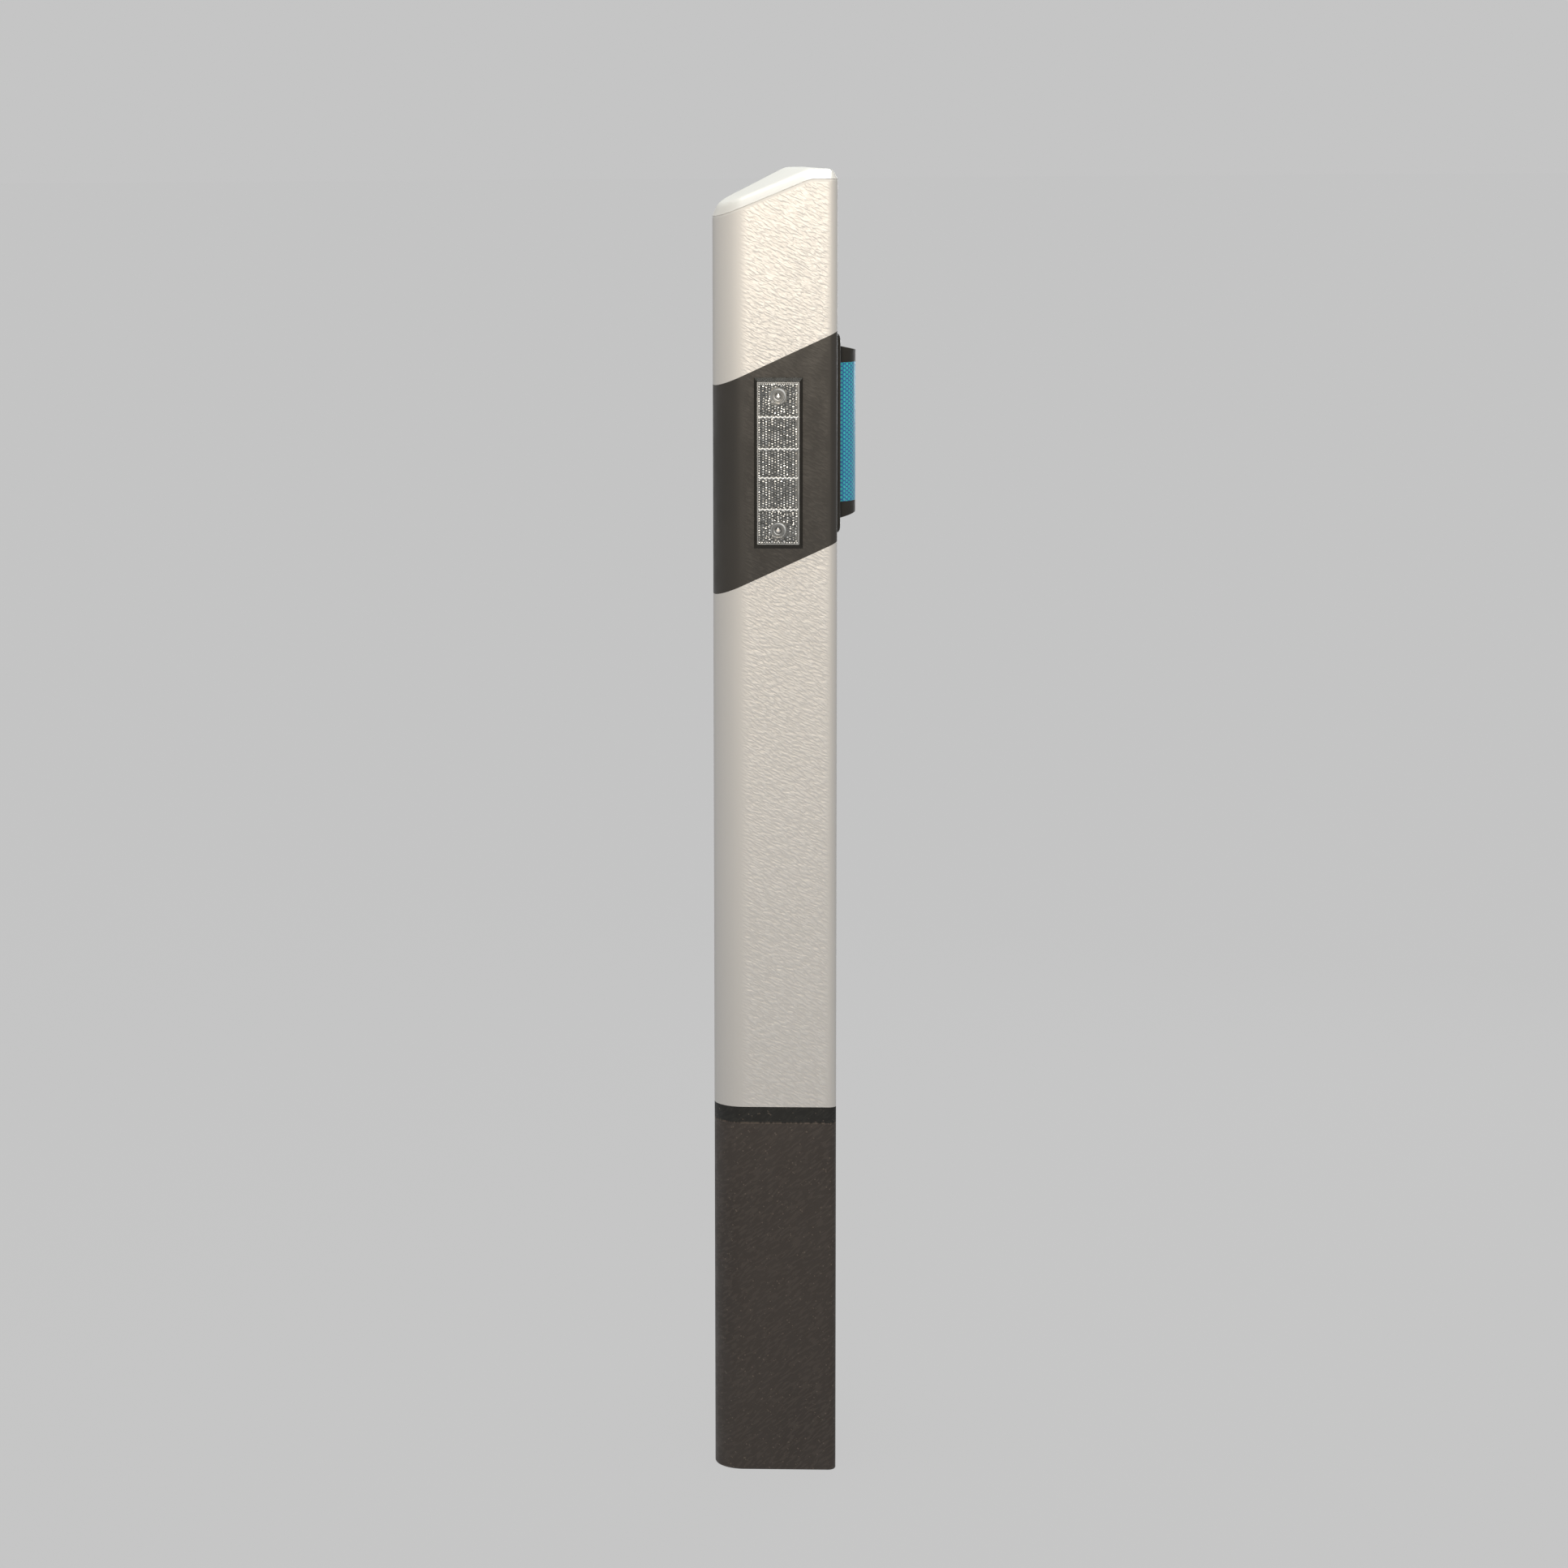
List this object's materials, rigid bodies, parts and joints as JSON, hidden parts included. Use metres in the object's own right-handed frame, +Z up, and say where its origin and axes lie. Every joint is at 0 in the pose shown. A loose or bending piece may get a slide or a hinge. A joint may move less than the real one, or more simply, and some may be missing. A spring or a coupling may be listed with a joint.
{
  "type": "roadside delineator post",
  "caption": "Hollow white delineator post with slanted top, slanted black band, prismatic reflectors and a blue half-round wildlife reflector, plugged into a dark ground sleeve.",
  "frame": {"origin": "middle of the post's section on the underside of the ground sleeve", "axes": "+Z up along the post; -X towards the road (rounded apex), +X towards the field (flat rear face with the wildlife reflector); -Y the side face with the long reflector, +Y the side face with the two round ones"},
  "size_m": [0.1546, 0.12, 1.4055],
  "materials": {
    "white_plastic": "white polyethylene with a fine leather grain, slightly weathered",
    "black_film": "satin black film with a faint grain",
    "black_plastic": "satin moulded black plastic",
    "sleeve_plastic": "brown-black recycled plastic with a diagonal grain",
    "collar_rubber": "near-black rubber",
    "foot_plastic": "dark moulded plastic",
    "silver_backing": "silvered",
    "clear_lens": "clear prismatic acrylic over a silvered back",
    "rivet_aluminium": "plain",
    "spring_steel": "plain",
    "grey_foam": "closed-cell foam",
    "blue_foil": "blue honeycomb prismatic sheet"
  },
  "bodies": {
    "ground": {"ground_sleeve": "sleeve_plastic", "collar_seal": "collar_rubber"},
    "post": {"post_shell": "white_plastic", "top_cap": "white_plastic", "black_band": "black_film", "foot_plug": "foot_plastic", "foot_rivets": "rivet_aluminium", "clamp_springs": "spring_steel", "spring_rivets": "rivet_aluminium", "rect_housing": "black_plastic", "rect_backing": "silver_backing", "rect_lens": "clear_lens", "rect_rivets": "rivet_aluminium", "upper_round_housing": "black_plastic", "upper_round_backing": "silver_backing", "upper_round_lens": "clear_lens", "lower_round_housing": "black_plastic", "lower_round_backing": "silver_backing", "lower_round_lens": "clear_lens", "round_rivets": "rivet_aluminium", "warner_pad": "grey_foam", "warner_plate": "black_plastic", "warner_carrier": "black_plastic", "warner_foil": "blue_foil", "warner_top_end": "black_plastic", "warner_bottom_end": "black_plastic", "warner_rivets": "rivet_aluminium", "warner_screws": "spring_steel"}
  },
  "joints": [
    {"name": "post_lift", "type": "slide", "parent": "ground", "child": "post", "axis": [0, 0, 1], "range_m": [0, 0.26]}
  ]
}
